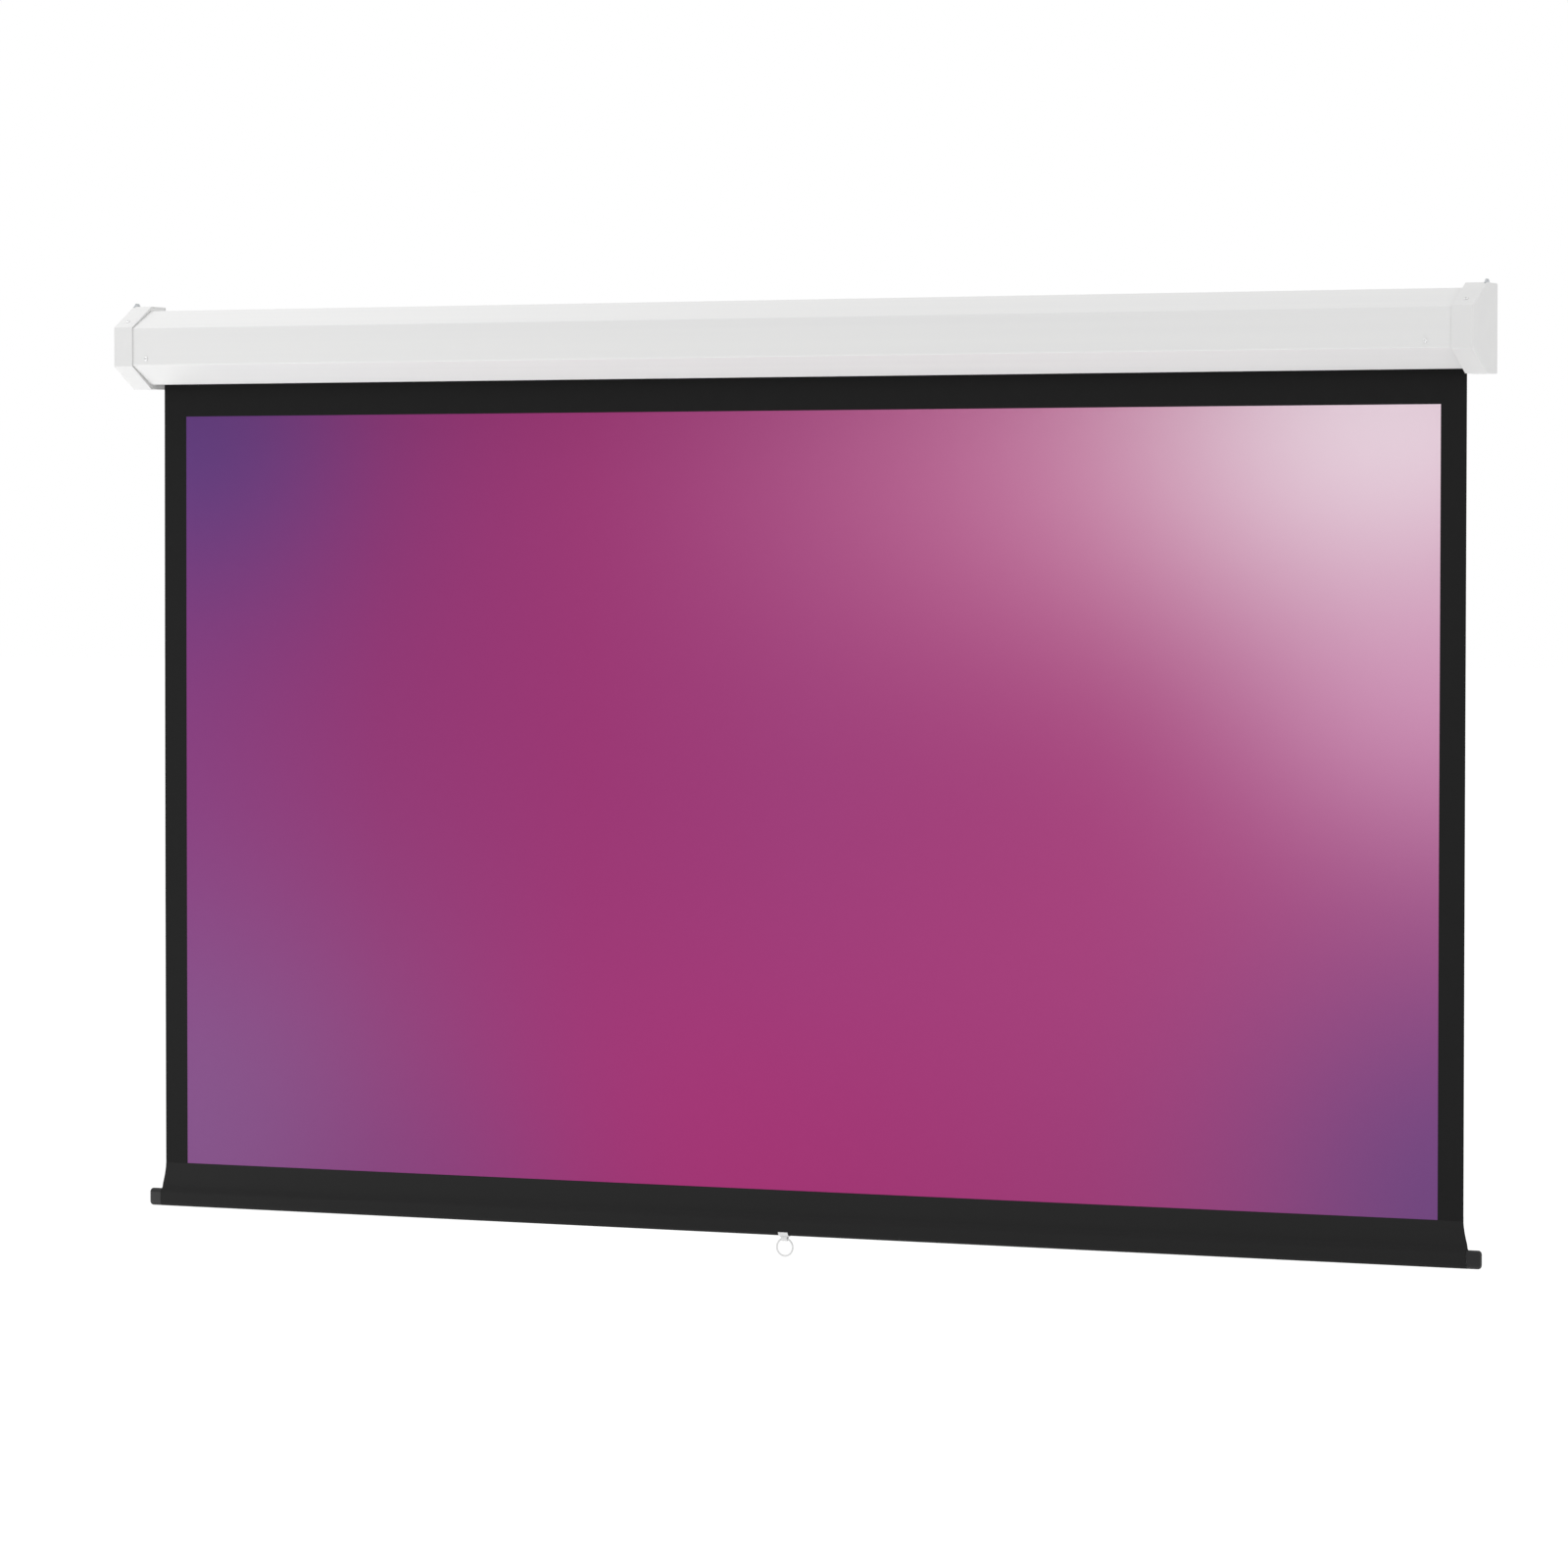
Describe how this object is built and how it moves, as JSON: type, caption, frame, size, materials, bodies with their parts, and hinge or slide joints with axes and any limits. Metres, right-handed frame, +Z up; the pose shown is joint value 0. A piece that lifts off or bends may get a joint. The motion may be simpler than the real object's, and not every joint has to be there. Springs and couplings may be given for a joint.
{
  "type": "wall-mounted spring-roller projector screen",
  "caption": "Pull-down projector screen in a white six-sided wall case: black-bordered cloth on a spring roller with a pawl lock, a bottom bar and a pull ring.",
  "frame": {"origin": "on the wall face at the back of the case, at the middle of the case's length and height", "axes": "+X to the right along the case as seen from the room, +Y into the wall, +Z up; the viewing side faces -Y"},
  "size_m": [2.844, 0.1298, 1.8377],
  "materials": {
    "case_enamel": "smooth white enamel",
    "cap_plastic": "white moulded plastic, fine satin",
    "zinc_steel": "zinc-plated sheet",
    "screw_steel": "plated screw",
    "hard_steel": "oiled hardened steel",
    "spring_steel": "drawn spring wire",
    "tube_aluminium": "mill finish tube",
    "diecast": "die-cast",
    "nylon": "natural nylon",
    "screen_cloth": "matt white viewing cloth with black borders",
    "black_cloth": "matt black cloth",
    "black_plastic": "black moulded plastic",
    "ring_plastic": "white gloss plastic"
  },
  "bodies": {
    "case": {"case_shell": "case_enamel", "end_cap_left": "cap_plastic", "end_cap_right": "cap_plastic", "bracket_plate_left": "zinc_steel", "bracket_plate_right": "zinc_steel", "case_screw_left": "screw_steel", "case_screw_right": "screw_steel", "cap_screw_left": "screw_steel", "cap_screw_right": "screw_steel", "screen_cloth": "screen_cloth", "spindle": "hard_steel", "ratchet_wheel": "hard_steel", "ratchet_key": "hard_steel", "spindle_clip": "spring_steel", "spring_collar": "diecast", "collar_pin": "hard_steel", "mainspring": "spring_steel", "idle_bushing": "nylon"},
    "roller": {"roller_tube": "tube_aluminium", "cloth_wraps": "black_cloth", "pawl_carrier": "diecast", "spindle_bushing": "nylon", "spring_anchor": "diecast", "idle_plug": "diecast", "idle_gudgeon": "hard_steel", "gudgeon_pin": "hard_steel", "pawl_pin_a": "hard_steel", "pawl_pin_b": "hard_steel"},
    "first_pawl": {"pawl_a": "hard_steel"},
    "second_pawl": {"pawl_b": "hard_steel"},
    "bar": {"bottom_pocket": "black_cloth", "bar_tube": "tube_aluminium", "bar_end_cap_left": "black_plastic", "bar_end_cap_right": "black_plastic", "ring_clip": "ring_plastic", "clip_screw_left": "screw_steel", "clip_screw_right": "screw_steel"},
    "ring": {"pull_ring": "ring_plastic"}
  },
  "joints": [
    {"name": "roller_spin", "type": "hinge", "parent": "case", "child": "roller", "pos_m": [0, -0.056, 0], "axis": [1, 0, 0], "range_deg": [0, 2610]},
    {"name": "screen_slide", "type": "slide", "parent": "case", "child": "bar", "axis": [0, 0, 1], "range_m": [0, 1.59072], "deforming": ["screen_cloth"]},
    {"name": "first_pawl_swing", "type": "hinge", "parent": "roller", "child": "first_pawl", "pos_m": [-1.3819, -0.03565, 0.01175], "axis": [1, 0, 0], "range_deg": [0, 14]},
    {"name": "second_pawl_swing", "type": "hinge", "parent": "roller", "child": "second_pawl", "pos_m": [-1.3819, -0.07635, -0.01175], "axis": [1, 0, 0], "range_deg": [0, 14]},
    {"name": "ring_swing", "type": "hinge", "parent": "bar", "child": "ring", "pos_m": [0, -0.02045, -1.7141], "axis": [1, 0, 0], "range_deg": [-75, 75]}
  ],
  "couplings": [
    {"joint": "screen_slide", "follows": "roller_spin", "m_per_rad": 0.03492}
  ]
}
